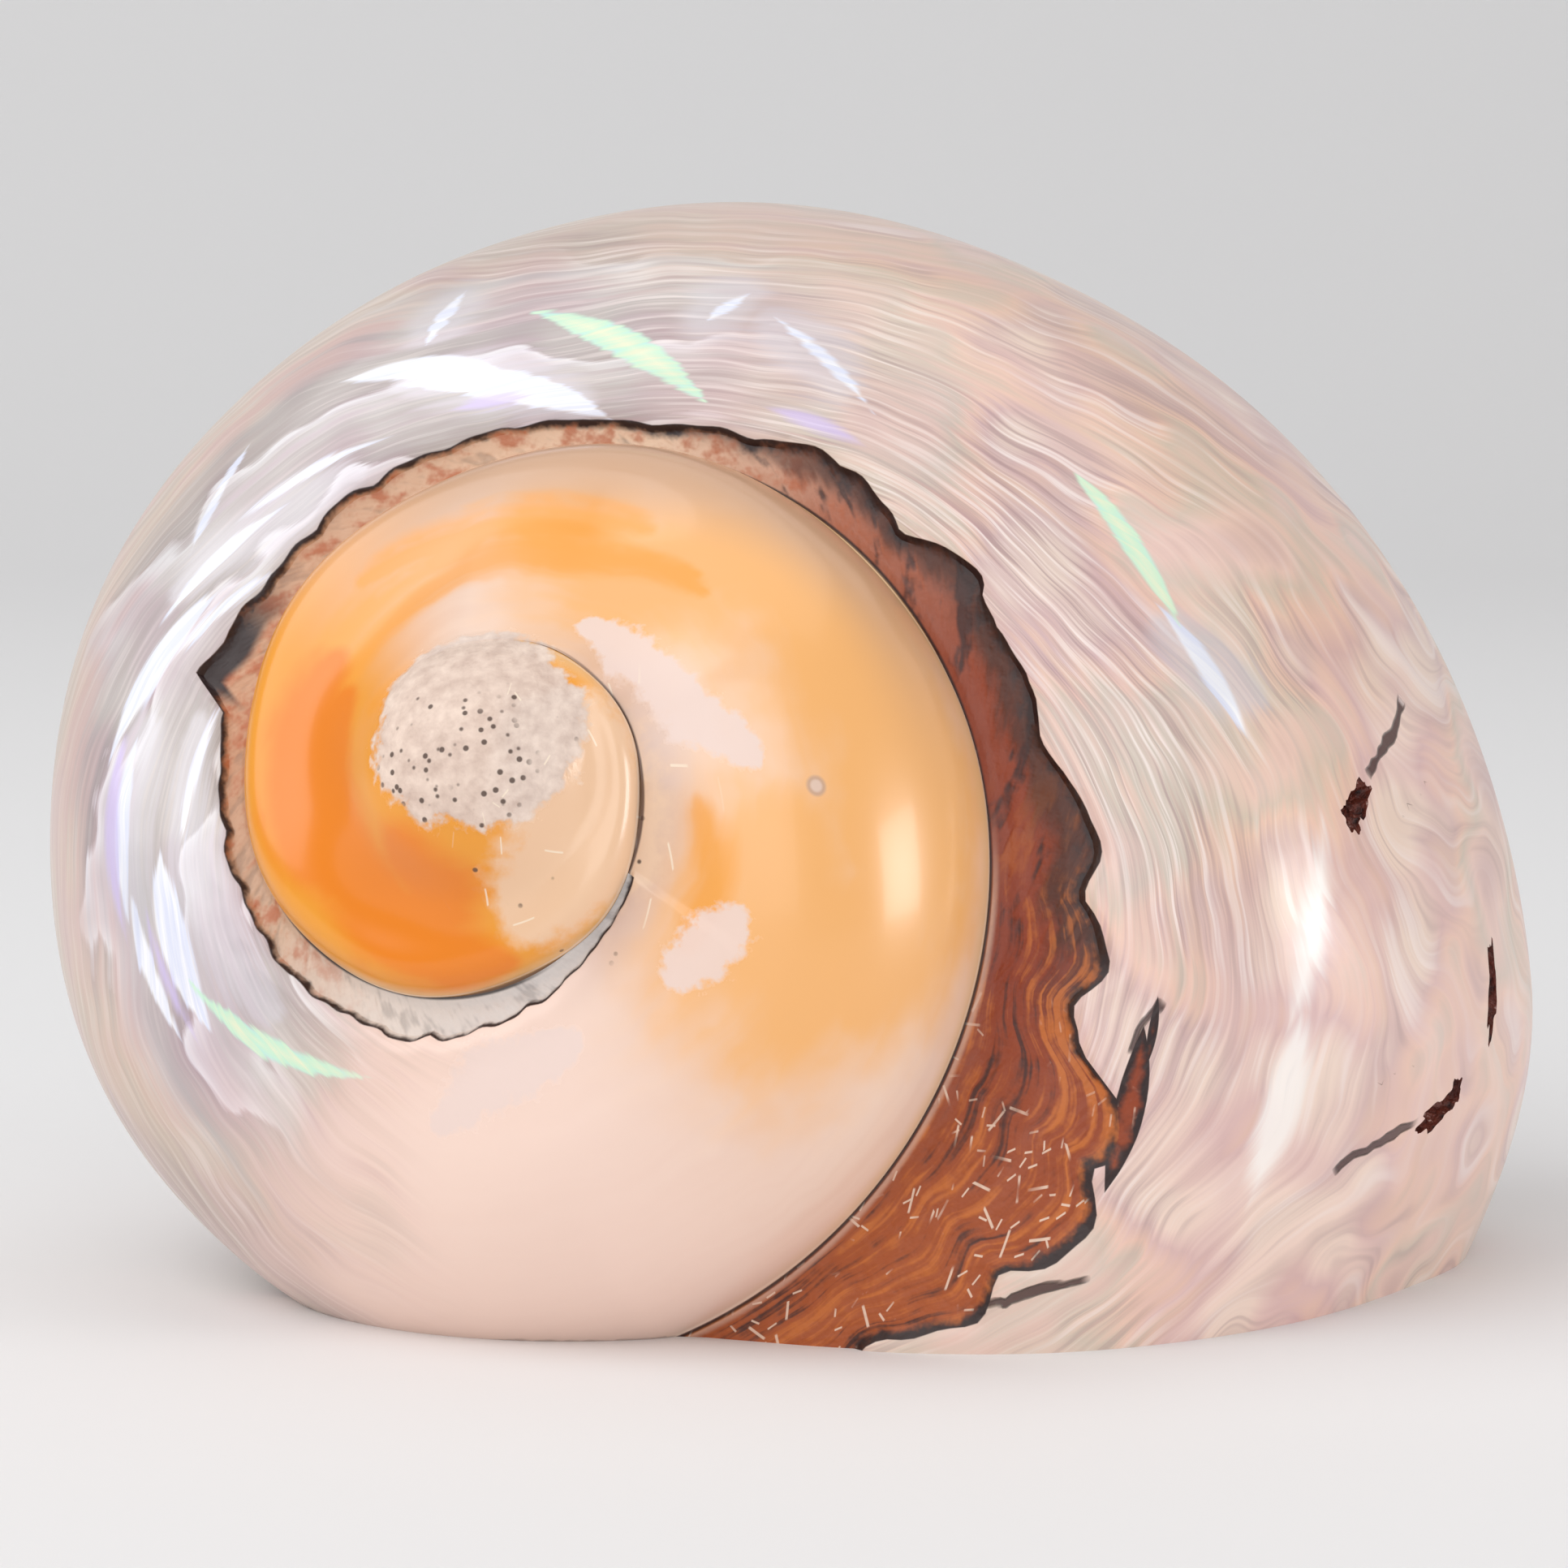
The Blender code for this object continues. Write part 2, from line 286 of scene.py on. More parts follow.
def brush(points, lines, width):
    """How near each point is to brush strokes over the shell: 1 on a stroke, 0 at its width, which
    tapers to a quarter at both ends, and less than 0 beyond. A stroke is a list of turns and steps."""
    best = np.full(len(points), -4.0)
    for line in lines:
        stops = np.array(line)
        way = np.linspace(0, len(stops) - 1, 8 * (len(stops) - 1) + 1)
        turn = np.interp(way, np.arange(len(stops)), stops[:, 0])
        step = np.interp(way, np.arange(len(stops)), stops[:, 1])
        trail = spot(turn, *outline(turn, step))
        wide = width * (0.25 + 0.75 * np.sin(np.pi * way / way[-1]) ** 0.6)
        for start, end, size in zip(trail[:-1], trail[1:], 0.5 * (wide[:-1] + wide[1:])):
            leg = end - start
            along = np.clip((points - start) @ leg / (leg @ leg), 0, 1)
            gap = np.linalg.norm(points - start - along[:, None] * leg, axis=1)
            best = np.maximum(best, 1 - gap / size)
    return best


def crack_lines(points, lines, reach):
    """Signed distance in mm to the nearest crack, measured across it along the surface, and how far
    along it a point lies: 1 in the middle, 0 at the ends."""
    side = np.full(len(points), 9.0)
    inner = np.zeros(len(points))
    nearest = np.full(len(points), 1e9)
    for line in lines:
        stops = np.array(line)
        trail = spot(stops[:, 0], *outline(stops[:, 0], stops[:, 1]))
        count = len(trail) - 1
        for number, (start, end) in enumerate(zip(trail[:-1], trail[1:])):
            leg = end - start
            share = (points - start) @ leg / (leg @ leg)
            gap = points - start - np.clip(share, 0, 1)[:, None] * leg
            far = np.linalg.norm(gap, axis=1)
            sign = np.sign(gap @ np.cross(leg, start - tip - axis * ((start - tip) @ axis)))
            nearer = (far < nearest) & (far < reach)
            nearest = np.where(nearer, far, nearest)
            side = np.where(nearer, sign * far * 1000, side)
            way = (number + np.clip(share, 0, 1)) / count
            over = np.maximum(share - 1, -share) * np.linalg.norm(leg) * 1000
            along = np.minimum(4 * way * (1 - way) + 0.25, 1) - np.clip(over, 0, 9)
            inner = np.where(nearer, along * np.clip(2 - 2 * far / reach, 0, 1), inner)
    return side, inner


# Strokes of painted sheen: pale silver streaks of reflection laid on the pearl as colour.
PAINTED_SHEEN_STROKES = (((0.723, 0.292), (0.712, 0.221)), ((0.671, 0.050), (0.633, 0.081), (0.588, 0.171)),
         ((0.821, 0.191), (0.839, 0.161), (0.854, 0.121)), ((0.802, 0.171), (0.809, 0.231)),
         ((0.701, 0.140), (0.734, 0.080), (0.770, 0.030)), ((0.536, 0.130), (0.500, 0.170), (0.450, 0.190)),
         ((0.959, 0.242), (0.974, 0.282), (0.978, 0.342)), ((0.540, 0.050), (0.457, 0.070), (0.382, 0.081)))
PEACH = (((0.821, 0.332), (0.847, 0.523), (0.892, 0.533), (0.937, 0.513), (0.974, 0.574)),
         ((0.464, 0.906), (0.404, 0.463)), ((0.993, 0.382), (1.019, 0.413)))
GREY = (((0.843, 0.111), (0.892, 0.141), (0.952, 0.131), (0.997, 0.161), (1.038, 0.181)),
        ((0.794, 0.121), (0.836, 0.141)), ((0.716, 0.433), (0.764, 0.362)),
        ((0.412, 0.634), (0.348, 0.624), (0.303, 0.765)))
HONEY = (((-0.421, 0.131), (-0.511, 0.141), (-0.620, 0.221), (-0.710, 0.433), (-0.770, 0.674)),
         ((-0.639, 0.030), (-0.702, 0.141), (-0.691, 0.282)),
         ((-0.600, 0.300), (-0.500, 0.300), (-0.400, 0.250)))
AMBER = (((0.033, 0.060), (0.074, 0.101), (0.115, 0.111)),
         ((-0.450, 0.140), (-0.360, 0.170), (-0.280, 0.180), (-0.190, 0.200), (-0.120, 0.260)),
         ((-0.430, 0.310), (-0.376, 0.282), (-0.301, 0.252), (-0.222, 0.221), (-0.170, 0.221),
          (-0.106, 0.242)),
         ((-0.346, 0.392), (-0.278, 0.312), (-0.207, 0.312), (-0.166, 0.342)))
ORANGE = (((-0.230, 0.312), (-0.147, 0.161), (-0.102, 0.473), (-0.031, 0.553), (0.033, 0.564),
           (0.066, 0.540), (0.095, 0.500)), ((0.045, 0.200), (0.085, 0.290), (0.105, 0.380)))
FROST = (((-0.147, 0.040), (-0.091, 0.040), (-0.031, 0.070), (0.003, 0.171)),
         ((0.134, 0.121), (0.108, 0.141), (0.089, 0.171)), ((0.277, 0.161), (0.250, 0.081), (0.202, 0.081)))
CHALK = (((-1.051, 0.201), (-0.946, 0.382), (-0.875, 0.654)),
         ((-1.044, 0.040), (-0.950, 0.191), (-0.875, 0.312), (-0.800, 0.372)))
CRACKS = (((0.974, 0.664), (0.982, 0.614), (0.989, 0.553), (0.993, 0.523)),
          ((1.072, 0.528), (1.068, 0.543), (1.061, 0.604), (1.053, 0.684)),
          ((1.046, 0.765), (1.038, 0.785), (1.027, 0.795)),
          ((1.068, 0.161), (1.061, 0.161), (1.053, 0.181)),
          ((1.139, 0.141), (1.128, 0.181), (1.117, 0.242)))
crack_side, crack_inner = crack_lines(skin_points, CRACKS, 0.004)
painted = {"sheen": brush(skin_points, PAINTED_SHEEN_STROKES, 0.0024),
           "peach": brush(skin_points, PEACH, 0.0075), "grey": brush(skin_points, GREY, 0.0065),
           "amber": brush(skin_points, AMBER, 0.0019), "orange": brush(skin_points, ORANGE, 0.0085),
           "honey": brush(skin_points, HONEY, 0.0034), "frost": brush(skin_points, FROST, 0.0019),
           "thin_chalk": brush(skin_points, CHALK, 0.0046), "chalk": 1 - np.linalg.norm(
               skin_points - tip - np.array([0.0012, 0.0015, 0.0014]), axis=1) / 0.0062,
           "crack": crack_side, "crack_inner": crack_inner}

# Where the grain of the pearl runs: out and backwards on the left, out and forwards on the right,
# more so the farther it is from the seam, and almost straight out towards the lip. The number is
# the same all along one line of the grain: a damped distance from the seam less a run of the turn.
run_turn = np.linspace(FIRST, LIP, 600)
run_slope = np.interp(run_turn, [0.30, 0.72, 0.84, 1.03, 1.09, 1.2], [-25, -18, 28, 32, -34, -44])
run = np.concatenate([[0], np.cumsum(0.5 * (run_slope[1:] + run_slope[:-1]) * np.diff(run_turn))])
grain = 12 * (1 - np.exp(-np.minimum(arc, 60) / 12)) - np.interp(turns, run_turn, run)
to_widest = arc[:, SHOULDER:SHOULDER + 1] - arc                                # mm to the next seam

skin = bpy.data.meshes.new("turban_shell")
faces = [f.tolist() for f in (spire_faces, body_faces, cap_faces, tip_faces)]
skin.from_pydata(skin_points.tolist(), [], sum(faces, []) + [lip_face.tolist()])
corners = np.zeros(len(skin.loops), np.int32)
skin.loops.foreach_get("vertex_index", corners)
tail = len(cap_faces) * 4 + len(tip_faces) * 3 + len(lip_face)


def corner_values(values, filler):
    """A grid's values at the corners of the faces, with one value for the cap and the lip's end."""
    return np.concatenate([cell_corners(values, 0, early, SHOULDER).ravel(),
                           cell_corners(values, early, stations, SHOULDER + BASE).ravel(),
                           np.full(tail, float(filler))])


grids = {"turn": corner_values(turns, FIRST), "across": corner_values(arc, 3),
         "rim": corner_values(to_widest, 3),
         "band": corner_values(beyond, 9), "grain": corner_values(grain, 0)}
grids.update({name: values[corners] for name, values in painted.items()})
for name, values in grids.items():
    skin.attributes.new(name, "FLOAT", "CORNER").data.foreach_set("value", values.astype(np.float32))
kind = np.zeros(len(skin.polygons), np.int32)
kind[-1] = 1


# What is cut out of the skin.
# The throat is a tube that follows the last whorl inside its wall, as the animal leaves it; worn
# holes go through the polish on the right; and a block trims the underside where the shell lies.
ROUND_TUBE = 63                                # points around the throat, three for each first one


def throat_rings(turn):
    """One closed ring for each turn: the whorl's outline sunk by the wall, and back along the
    whorl before it, rounded three times by averaging neighbours and drawn finer by its harmonics."""
    wall = 0.0026 + 0.0008 * np.clip((LIP - turn) / 0.7, 0, 1)
    level = np.ones(14)[None] * turn[:, None]
    radius, depth = sunk(level, 0.28 + 1.44 * np.arange(14)[None] / 13 + 0 * level, wall[:, None])
    back = np.ones(7)[None] * turn[:, None] - 1
    back_r, back_h = sunk(back, np.concatenate([[1.62], 1.62 - 0.12 * np.arange(6)])[None] + 0 * back,
                          -1.2 * wall[:, None])
    back_r[:, 0] = 0.5 * (radius[:, -1] + back_r[:, 0])
    back_h[:, 0] = 0.35 * depth[:, -1] + 0.65 * back_h[:, 0] + wall
    ring = np.concatenate([radius, back_r], axis=1) + 1j * np.concatenate([depth, back_h], axis=1)
    for _ in range(3):
        ring = (np.roll(ring, 1, axis=1) + 2 * ring + np.roll(ring, -1, axis=1)) / 4
    waves = np.fft.fft(ring, axis=1)
    fine = np.zeros((len(turn), ROUND_TUBE), complex)
    fine[:, :11], fine[:, -10:] = waves[:, :11], waves[:, -10:]
    return np.fft.ifft(fine, axis=1) * (ROUND_TUBE // ring.shape[1])


count = 110
tube_turn = np.linspace(0.80, 1.275, count)
tube = throat_rings(tube_turn)
centre = tube.mean(axis=1, keepdims=True)
close = np.clip((np.arange(count) / (count - 1)) / 0.12, 0, 1)[:, None]
tube = centre + (tube - centre) * (0.05 + 0.95 * np.sqrt(1 - (1 - close) ** 2))
tube_points = spot(np.tile(tube_turn[:, None], (1, ROUND_TUBE)), tube.real, tube.imag).reshape(-1, 3)
ring_ids = np.arange(count * ROUND_TUBE).reshape(count, ROUND_TUBE)
turned = np.roll(ring_ids, -1, axis=1)
tube_faces = np.stack([ring_ids[:-1], turned[:-1], turned[1:], ring_ids[1:]], axis=-1).reshape(-1, 4)
throat = bpy.data.meshes.new("throat")
throat.from_pydata(tube_points.tolist(), [],
                   tube_faces.tolist() + [ring_ids[0, ::-1].tolist(), ring_ids[-1].tolist()])

# Worn holes: turn, step, half sizes along, across and deep in mm, and how far round it is turned.
# The second group overlaps the first, so it is cut on its own.
HOLES = (((0.999, 0.492, 1.5, 0.75, 1.1, -0.8), (1.053, 0.700, 2.0, 0.75, 1.1, -1.0),
          (1.027, 0.800, 2.9, 0.65, 1.0, 0.15)),
         ((1.003, 0.470, 0.9, 0.6, 0.9, 0.5), (1.048, 0.735, 0.9, 0.7, 1.0, 0.0)))
BELTS, SECTORS = 17, 32                        # rings of a ball between its poles, and points on each
POLES = BELTS * SECTORS                        # the first pole's number; the second one is next
theta, phi = np.meshgrid(np.linspace(0, np.pi, BELTS + 2)[1:-1],
                         np.linspace(0, 2 * np.pi, SECTORS + 1)[:-1], indexing="ij")
ball = np.stack([np.cos(phi) * np.sin(theta), np.sin(phi) * np.sin(theta), np.cos(theta)], axis=-1)
knock = 1 + 0.16 * np.sin(5 * phi + 1) * np.sin(theta) ** 2 + 0.12 * np.sin(9 * phi) * np.sin(3 * theta)
belt = np.arange(POLES).reshape(BELTS, SECTORS)
beside = np.roll(belt, -1, axis=1)
ball_faces = (np.stack([belt[:-1], belt[1:], beside[1:], beside[:-1]], axis=-1).reshape(-1, 4).tolist()
              + np.stack([np.full(SECTORS, POLES), belt[0], beside[0]], axis=-1).tolist()
              + np.stack([np.full(SECTORS, POLES + 1), beside[-1], belt[-1]], axis=-1).tolist())
hole_meshes = []
for number, group in enumerate(HOLES):
    hole_points, hole_faces = [], []
    for turn, step, along, wide, deep, angle in group:
        here, ahead, aside = (spot(np.array(t), *outline(np.array(t), np.array(s)))
                              for t, s in ((turn, step), (turn + 0.004, step), (turn, step + 0.02)))
        ahead = (ahead - here) / np.linalg.norm(ahead - here)
        out = np.cross(aside - here, ahead)
        out /= np.linalg.norm(out)
        aside = np.cross(ahead, out)
        way = np.array([np.cos(angle) * ahead + np.sin(angle) * aside,
                        np.cos(angle) * aside - np.sin(angle) * ahead, out])
        shape = (ball * knock[..., None]) * np.array([along, wide, deep]) / 1000
        body = np.concatenate([(shape @ way).reshape(-1, 3), [out * deep / 1000, -out * deep / 1000]])
        hole_faces += [[corner + len(body) * len(hole_points) for corner in face] for face in ball_faces]
        hole_points.append(body + here)
    hole_meshes.append(bpy.data.meshes.new("holes_" + "ab"[number]))
    hole_meshes[-1].from_pydata(np.concatenate(hole_points).tolist(), [], hole_faces)
block = bpy.data.meshes.new("block")
block.from_pydata([(x, y, z) for z in (-0.1, 0) for y in (-0.1, 0.1) for x in (-0.1, 0.1)], [],
                  [(0, 2, 3, 1), (4, 5, 7, 6), (0, 1, 5, 4), (2, 6, 7, 3), (0, 4, 6, 2), (1, 3, 7, 5)])


def faces_out(mesh):
    """Turns all faces over if the mesh holds a negative volume, the sum over its triangles of the
    product of their corners."""
    mesh.calc_loop_triangles()
    corner = np.zeros(len(mesh.loop_triangles) * 3, np.int32)
    mesh.loop_triangles.foreach_get("vertices", corner)
    place = np.zeros(len(mesh.vertices) * 3, np.float32)
    mesh.vertices.foreach_get("co", place)
    a, b, c = np.moveaxis(place.reshape(-1, 3)[corner].reshape(-1, 3, 3), 1, 0)
    if np.einsum("ij,ij->", a, np.cross(b, c)) < 0:
        mesh.flip_normals()


# The finishes are made further down; the slots here are skin, cut rim, throat and holes.
finishes = [bpy.data.materials.new(name) for name in
            ("polished_shell", "cut_rim", "throat_pearl", "worn_hole")]
skin.polygons.foreach_set("material_index", kind)
for mesh, slot in ((skin, None), (throat, 2), (hole_meshes[0], 3), (hole_meshes[1], 3), (block, 1)):
    for material in finishes:
        mesh.materials.append(material)
    if slot is not None:
        mesh.polygons.foreach_set("material_index", np.full(len(mesh.polygons), slot, np.int32))
    faces_out(mesh)
shell = bpy.data.objects.new("turban_shell", skin)
bpy.context.scene.collection.objects.link(shell)
cutters = []
for mesh in (throat, *hole_meshes, block):
    cutter = bpy.data.objects.new(mesh.name, mesh)
    bpy.context.scene.collection.objects.link(cutter)
    cut = shell.modifiers.new(mesh.name, "BOOLEAN")
    cut.operation, cut.solver, cut.object = "DIFFERENCE", "EXACT", cutter
    cutters.append(cutter)
bpy.context.view_layer.update()
whole = bpy.data.meshes.new_from_object(shell.evaluated_get(bpy.context.evaluated_depsgraph_get()))
shell.modifiers.clear()
shell.data = whole
for cutter in cutters:
    bpy.data.objects.remove(cutter)
whole.polygons.foreach_set("use_smooth", np.ones(len(whole.polygons), bool))
whole.set_sharp_from_angle(angle=radians(38))
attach(shell, "root")
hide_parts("shell")


# The shell's finishes.
# Pearl is layers of clear plates, so it is glossy with coloured glints and shows fine lines where
# the polish cuts the layers. The brown outer layer is left only in a band along the last seam.
def seen(red, green, blue):
    """A colour as the eye sees it, 0 to 255, turned into light by the screen's curve, less what the
    polish adds to it."""
    light = [((c / 255 + 0.055) / 1.055) ** 2.4 - 0.018 for c in (red, green, blue)]
    return (*(min(max(c, 0.002), 1) for c in light), 1)


class Wire:
    """The output of a shader node. Arithmetic on it adds the Math nodes that work it out."""

    def __init__(self, tree, socket):
        self.tree, self.socket = tree, socket

    def node(self, kind, settings, sockets, out=0):
        """Adds a node: settings first, a ramp's stops among them, then its sockets' values or links."""
        new = self.tree.nodes.new(kind)
        for name, value in settings.items():
            if name == "stops":
                while len(new.color_ramp.elements) < len(value):
                    new.color_ramp.elements.new(0.5)
                for element, (position, colour) in zip(new.color_ramp.elements, value):
                    element.position, element.color = position, colour
            else:
                setattr(new, name, value)
        for name, value in sockets.items():
            if isinstance(value, Wire):
                self.tree.links.new(value.socket, new.inputs[name])
            else:
                new.inputs[name].default_value = value
        return Wire(self.tree, new.outputs[out])

    def also(self, out):
        """Another output of the same node."""
        return Wire(self.tree, self.socket.node.outputs[out])

    def math(self, operation, *others):
        """A Math node of this value and the others, in that order."""
        return self.node("ShaderNodeMath", {"operation": operation}, dict(enumerate((self, *others))))

    def __add__(self, other): return self.math("ADD", other)
    def __radd__(self, other): return self.math("ADD", other)
    def __sub__(self, other): return self.math("SUBTRACT", other)
    def __rsub__(self, other): return (self * -1) + other
    def __mul__(self, other): return self.math("MULTIPLY", other)
    def __truediv__(self, other): return self.math("DIVIDE", other)

    def rise(self, low, high):
        """0 up to the low value, 1 from the high one on, with a smooth rise between."""
        return self.node("ShaderNodeMapRange", {"interpolation_type": "SMOOTHSTEP"},
                         {0: self, 1: low, 2: high, 3: 0.0, 4: 1.0})

    def fall(self, low, high):
        """1 up to the low value, 0 from the high one on, with a smooth fall between."""
        return self.node("ShaderNodeMapRange", {"interpolation_type": "SMOOTHSTEP"},
                         {0: self, 1: low, 2: high, 3: 1.0, 4: 0.0})

    def over(self, below, above):
        """Mixes two colours by this value: the first at 0, the second at 1."""
        return self.node("ShaderNodeMix", {"data_type": "RGBA"}, {0: self, 6: below, 7: above}, out=2)

    def noise(self, scale, detail, roughness=0.5, distortion=0.0):
        """Cloudy noise around 0.5 at this place, with so many spots for each mm."""
        return self.node("ShaderNodeTexNoise", {}, {"Vector": self, "Scale": scale, "Detail": detail,
                         "Roughness": roughness, "Distortion": distortion})

    def distance(self, x, y, z=0.0):
        """How far this place is from a point."""
        return self.node("ShaderNodeVectorMath", {"operation": "DISTANCE"}, {0: self, 1: (x, y, z)}, out=1)

    def ramp(self, *stops):
        """A colour ramp over this value: each stop is a position and a colour."""
        return self.node("ShaderNodeValToRGB", {"stops": stops}, {0: self})


def start(material):
    """Clears a material and returns a wire of its place in mm, and a call for its attributes."""
    material.use_nodes = True
    tree = material.node_tree
    tree.nodes.clear()
    place = Wire(tree, tree.nodes.new("ShaderNodeTexCoord").outputs["Object"])
    place = place.node("ShaderNodeVectorMath", {"operation": "SCALE"}, {0: place, "Scale": 1000.0})
    return place, lambda name: place.node("ShaderNodeAttribute", {"attribute_name": name}, {}, out=2)


def vector(x, y, z=0.0):
    """A place from its three parts, of which the first or the second is a wire."""
    base = x if isinstance(x, Wire) else y
    return base.node("ShaderNodeCombineXYZ", {}, {0: x, 1: y, 2: z})


def gloss(colour, rough, normal, metal=0.0, coat=0.0, film=0.0):
    """The shader itself. Numbers that are the same all over sit on its own sockets."""
    return colour.node("ShaderNodeBsdfPrincipled", {}, {
        "Base Color": colour, "Roughness": rough, "Metallic": metal, "Normal": normal, "Coat Weight": coat,
        "Coat Roughness": 0.09, "IOR": 1.53, "Thin Film Thickness": film, "Thin Film IOR": 1.45})


def finish(material, shader):
    """Puts a shader on a material's output."""
    output = material.node_tree.nodes.new("ShaderNodeOutputMaterial")
    material.node_tree.links.new(shader.socket, output.inputs["Surface"])


def bumped(height, distance, strength=1.0):
    """A Bump node: the height counts in steps of the distance, in metres."""
    return height.node("ShaderNodeBump", {}, {"Height": height, "Distance": distance, "Strength": strength})


# The polished skin, spire: orange and cream, with frosted spots, painted shade near a seam, and a chalky,
# bored tip whose holes are painted dark dots of shade.
place, value = start(finishes[0])
turn, across, rim, band = value("turn"), value("across"), value("rim"), value("band")
broad = place.noise(0.055, 1.0)
medium = place.noise(0.16, 1.0)
cloudy = place.noise(0.30, 2.0)
small = place.noise(1.1, 3.0, 0.6)
rings = vector(across * 0.9 + cloudy * 2.0, turn * 4.0).noise(1.0, 2.0)
spire = (broad * 0.6 + rings * 0.4).ramp((0.3, seen(238, 204, 184)), (0.7, seen(248, 222, 204)))
orange = (value("orange") + (cloudy - 0.5) * 0.7 + (rings - 0.5) * 0.4).rise(-0.45, 0.70)
spire = orange.over(spire, seen(246, 184, 118))
# Painted shade: the first whorls turn a darker dusky beige within 4 to 9 mm of the next seam.
painted_seam_shade = rim.fall(4.0, 9.0) * turn.rise(-0.42, -0.28) * turn.fall(-0.12, 0.04)
spire = (painted_seam_shade * 0.95).over(spire, seen(206, 166, 136))
first = turn.fall(-0.42, -0.26)
spire = first.over(spire, seen(240, 160, 58))
amber = (value("amber") + (cloudy - 0.5) * 0.6 + (rings - 0.5) * 0.9).rise(-0.1, 0.8)
spire = (amber * 0.75).over(spire, seen(246, 164, 62))
honey = (value("honey") + (cloudy - 0.5) * 0.5 + (rings - 0.5) * 0.4).rise(-0.1, 0.6)
spire = (honey * 0.9).over(spire, seen(238, 132, 14))
shaded = across.fall(0.3, 3.6) * turn.rise(-0.25, 0.0) * turn.fall(0.16, 0.26)
spire = (shaded * 0.7).over(spire, seen(204, 176, 166))
cream = rim.fall(0.2, 1.7) * (1 - honey * 0.6)
spire = (cream * 0.6).over(spire, seen(236, 198, 144))
pale = turn.rise(0.12, 0.22)
spire = (pale * (1 - orange) * 0.8).over(spire, seen(248, 220, 207))
frost = (value("frost") + (small - 0.5) * 1.3 + (medium - 0.5) * 0.6).rise(0.02, 0.36)
spire = (frost * 0.85).over(spire, seen(238, 216, 208))
thin_chalk = (value("thin_chalk") + (small - 0.5) * 0.6 + (cloudy - 0.5) * 0.8).rise(-0.05, 0.45)
spire = (thin_chalk * 0.85).over(spire, seen(240, 206, 176))
chalk = (value("chalk") + (small - 0.5) * 0.4 + (cloudy - 0.5) * 0.4).rise(0.02, 0.12)
powder = small.ramp((0.3, seen(206, 186, 176)), (0.70, seen(240, 222, 210)))
spire = (chalk * 0.92).over(spire, powder)


def dots_of(place, scale, least, most):
    """Round dots of a size in mm, one in each cell of a scattered pattern."""
    gap = place.node("ShaderNodeTexVoronoi", {}, {"Vector": place, "Scale": scale})
    return (gap / scale).fall(least, most)


cluster = place.distance(-17.9, -30.9, 31.0)
thick = (cluster.fall(1.0, 6.5) + (cloudy - 0.5) * 1.2).rise(0.20, 0.50)
sparse = (cloudy - 0.5).rise(0.0, 0.10) * value("thin_chalk").rise(-0.5, 0.0)
# The bore holes are not cut: they are painted as dark dots of shade, thick about one spot near the tip and
# sparse elsewhere.
painted_bore_shade = dots_of(place, 1.5, 0.11, 0.19) * thick * chalk
painted_bore_shade = painted_bore_shade.math("MAXIMUM", dots_of(place, 0.9, 0.10, 0.18) * sparse)
spire = (painted_bore_shade * 0.9).over(spire, seen(80, 62, 54))


def scratches(place, scale, length, width, seed, share):
    """Short straight marks, one in each cell of a scattered pattern, each turned at random."""
    settings = {"voronoi_dimensions": "2D"}
    sockets = {"Vector": place, "Scale": scale, "Randomness": 1.0}
    cell = place.node("ShaderNodeTexVoronoi", settings, sockets, out=1)
    gap = place.node("ShaderNodeVectorMath", {"operation": "SUBTRACT"}, {0: place, 1: cell.also(2)})
    gap = gap.node("ShaderNodeSeparateXYZ", {}, {0: gap})
    chance = cell.node("ShaderNodeSeparateColor", {}, {0: cell})
    angle = chance * 5.0 + seed
    cosine, sine = angle.math("COSINE"), angle.math("SINE")
    long_way = (gap * cosine + gap.also(1) * sine).math("ABSOLUTE")
    short_way = (gap.also(1) * cosine - gap * sine).math("ABSOLUTE")
    chosen = chance.also(1).fall(share - 0.03, share)
    return long_way.fall(length * 0.8, length) * short_way.fall(width * 0.5, width) * chosen


trails = scratches(vector(turn * 40.0, across), 0.55, 0.50, 0.06, 0.8, 0.35)
trails = trails * value("thin_chalk").rise(-0.6, 0.2)
spire = (trails * 0.7).over(spire, seen(252, 236, 214))
nodule = vector(turn * 107.0, across).distance(1.5, 9.1)
spire = (nodule.fall(0.40, 0.62) * 0.8).over(spire, seen(196, 164, 146))
spire = (nodule.fall(0.22, 0.40) * 0.8).over(spire, seen(232, 206, 190))
worn_seam = turn.rise(-0.22, -0.05)
far_seam = (turn + 1).rise(-0.22, -0.05)
seam_line = across.fall(0.07, 0.20) * worn_seam + rim.fall(0.03, 0.12) * far_seam
spire = (seam_line.math("MINIMUM", 1.0) * 0.85).over(spire, seen(66, 38, 36))
lip_light = rim.rise(0.10, 0.20) * rim.fall(0.25, 0.42) * far_seam
spire = (lip_light * 0.5).over(spire, seen(252, 232, 214))
dull = chalk + frost * 0.6
spire_gloss = gloss(spire, (0.27 + dull * 0.34).math("MINIMUM", 0.8),
                    bumped(value("chalk").rise(0.0, 0.12) * small * 0.13, 0.001),
                    coat=(0.20 - dull * 0.20).math("MAXIMUM", 0.0))

